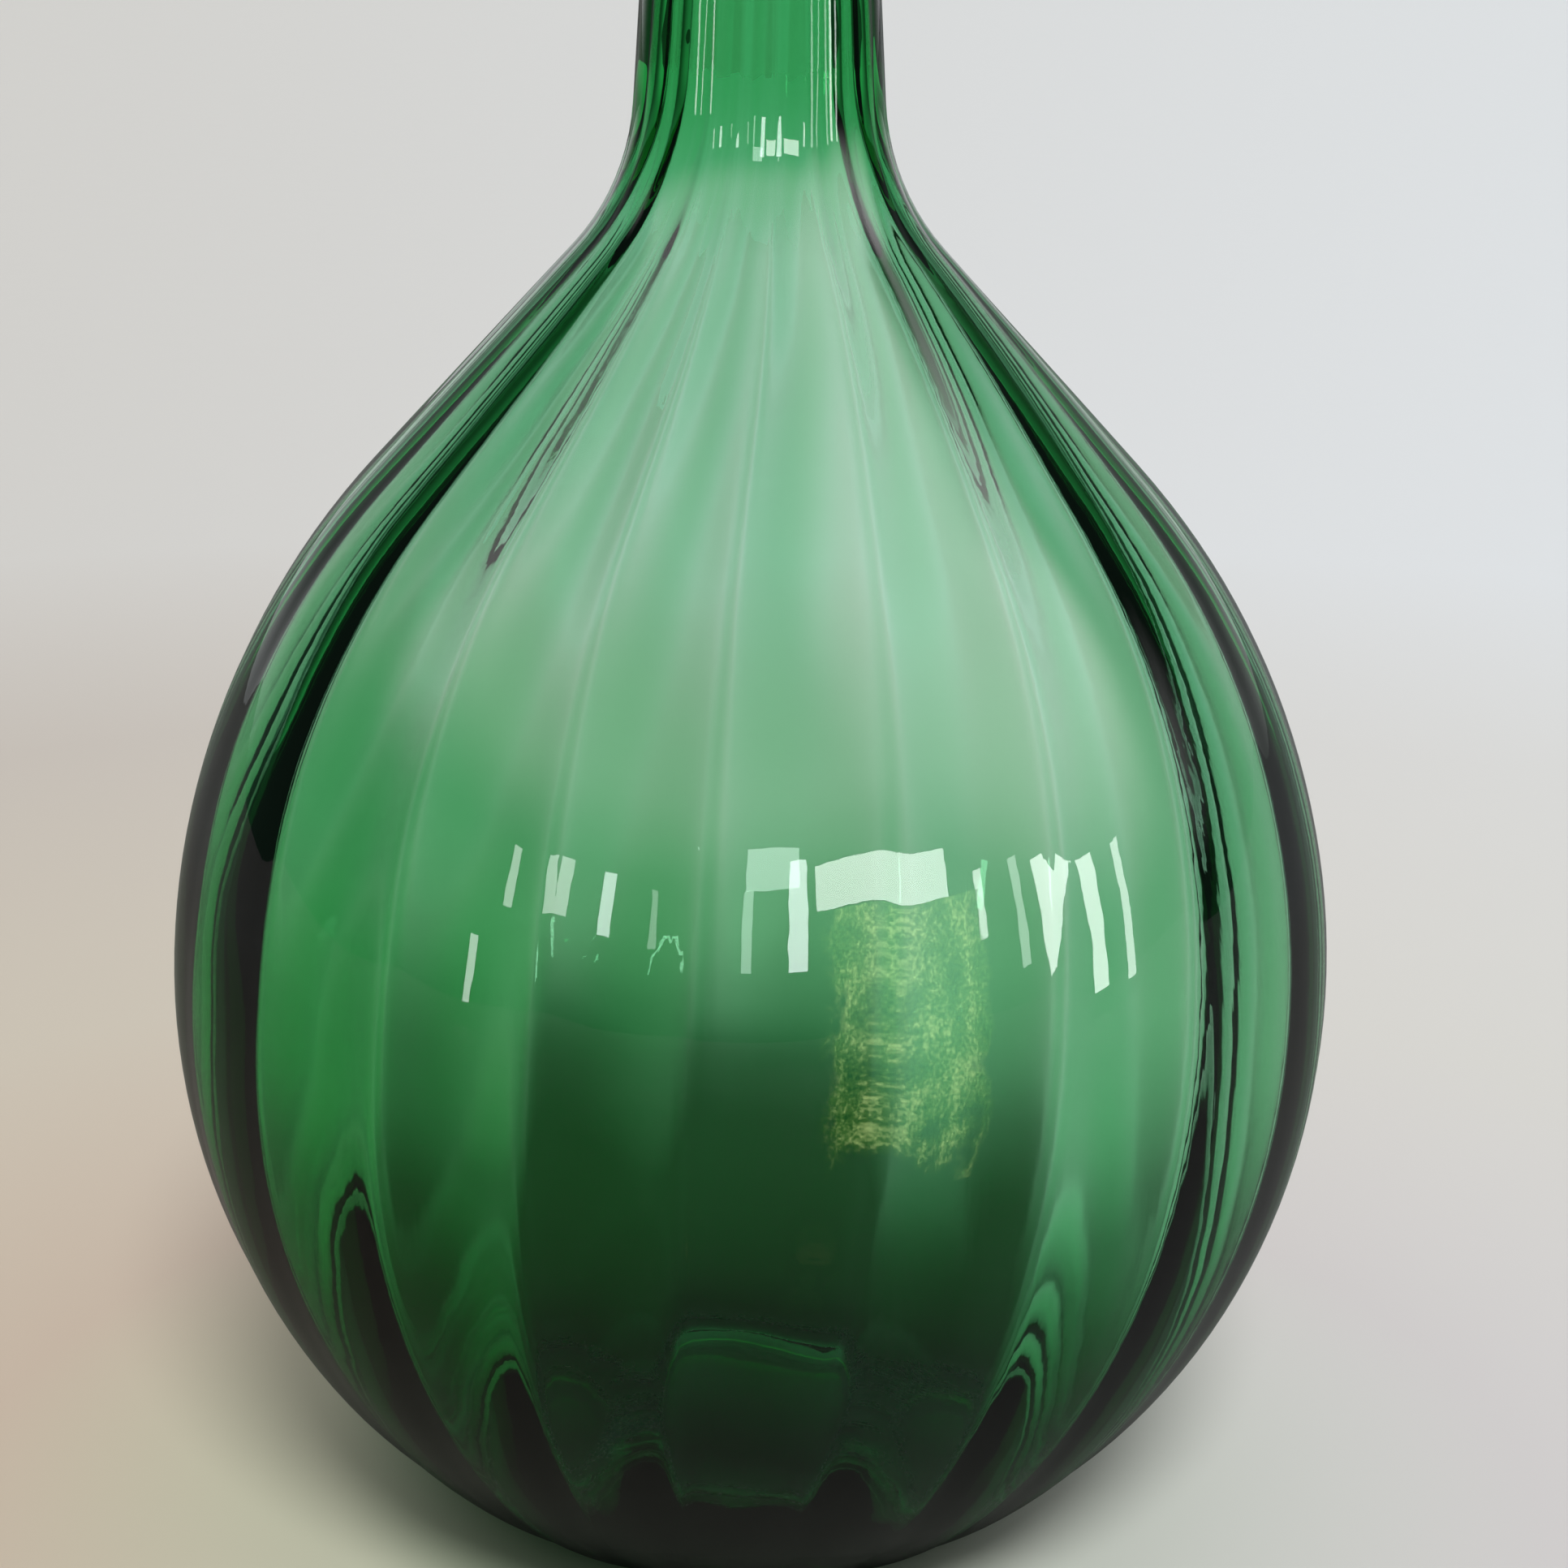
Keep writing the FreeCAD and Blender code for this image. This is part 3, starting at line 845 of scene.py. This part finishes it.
def windows():
    """The windows before the bottle, as upright panels of light set round it."""
    for name, (middle, width, bottom, top, radiance, tint) in WINDOWS.items():
        low, high = (WINDOW_DISTANCE * math.tan(math.radians(rise)) for rise in (bottom, top))
        light = bpy.data.lights.new(name, "AREA")
        light.shape = "RECTANGLE"
        light.size = 2 * WINDOW_DISTANCE * math.tan(math.radians(width / 2))
        light.size_y = high - low
        light.color = tint
        light.energy = radiance * math.pi * light.size * light.size_y
        made = new_object(name, light)
        angle = math.radians(middle)
        made.location = (math.sin(angle) * WINDOW_DISTANCE, -math.cos(angle) * WINDOW_DISTANCE,
                         BELLY + (low + high) / 2)
        made.rotation_euler = (math.radians(90), 0, angle)
        made.visible_diffuse = False
        made.visible_transmission = name == WINDOW_SEEN_INSIDE


def sunlit_leaves():
    """Leaves that only the outside of the glass mirrors, low on the belly."""
    low, high = (LEAVES_HEIGHT + LEAVES_DISTANCE * math.tan(math.radians(rise))
                 for rise in (LEAVES_BOTTOM, LEAVES_TOP))
    half = LEAVES_DISTANCE * math.tan(math.radians(LEAVES_WIDTH / 2))
    material, net = new_material("sunlit_leaves")
    place = net.own_place()
    apart = net.split(place)
    leaves = net.noise(place, LEAF_SCALE, 4.0, Roughness=0.7)
    boughs = net.noise(place, BOUGH_SCALE, 3.0)
    lit = net.ramp(leaves * LEAF_SHARE + boughs * (1 - LEAF_SHARE), LEAF_TONES)
    glow = net.add("ShaderNodeEmission", None, {"Color": lit, "Strength": 1.0})
    clear = net.add("ShaderNodeBsdfTransparent")
    ragged = boughs - 0.5
    sideways = (apart.out("X") / half).math("ABSOLUTE") + ragged * RAGGED_SIDES
    upwards = (apart.out("Z") - low) / (high - low) + ragged * RAGGED_FOOT
    path = net.add("ShaderNodeLightPath")
    mirrored = path.out("Is Singular Ray") * (1 - path.out("Ray Length").step(*LEAVES_REACH))
    shown = (1 - sideways.step(*LEAVES_SIDES)) * upwards.step(*LEAVES_FOOT) * mirrored
    surface = net.add("ShaderNodeMixShader", None, {0: shown, 1: clear, 2: glow})
    net.add("ShaderNodeOutputMaterial", None, {"Surface": surface})
    corners = [(-half, 0, low), (half, 0, low), (half, 0, high), (-half, 0, high)]
    made = flat_panel("leaves", corners, material)
    angle = math.radians(LEAVES_MIDDLE)
    made.location = (math.sin(angle) * LEAVES_DISTANCE, -math.cos(angle) * LEAVES_DISTANCE, 0)
    made.rotation_euler = (0, 0, angle)
    made.visible_camera = False
    made.visible_diffuse = False
    made.visible_transmission = False
    made.visible_shadow = False


def camera():
    """The camera, a little above the bottle, leaning so that the bottle leans right."""
    data = bpy.data.cameras.new("camera")
    data.lens = CAMERA_LENS
    data.sensor_width = CAMERA_SENSOR
    made = new_object("camera", data)
    angle = math.radians(CAMERA_RISE)
    made.location = (0, -CAMERA_DISTANCE * math.cos(angle), BELLY + CAMERA_DISTANCE * math.sin(angle))
    look = (CAMERA_AIM - made.location).to_track_quat("-Z", "Y").to_matrix()
    roll = Matrix.Rotation(math.radians(CAMERA_LEAN), 3, "Z")
    made.rotation_euler = (look @ roll).to_euler()
    bpy.context.scene.camera = made


camera()
table()
room_light()
soft_key()
windows()
sunlit_leaves()
bpy.context.scene.cycles.caustics_refractive = False    # the glass casts an ordinary shadow
glass_bottle(green_glass())
cork_bung(natural_cork(), neck_end()[1].x - NECK_WALL)
bpy.context.scene.view_settings.view_transform = "Standard"
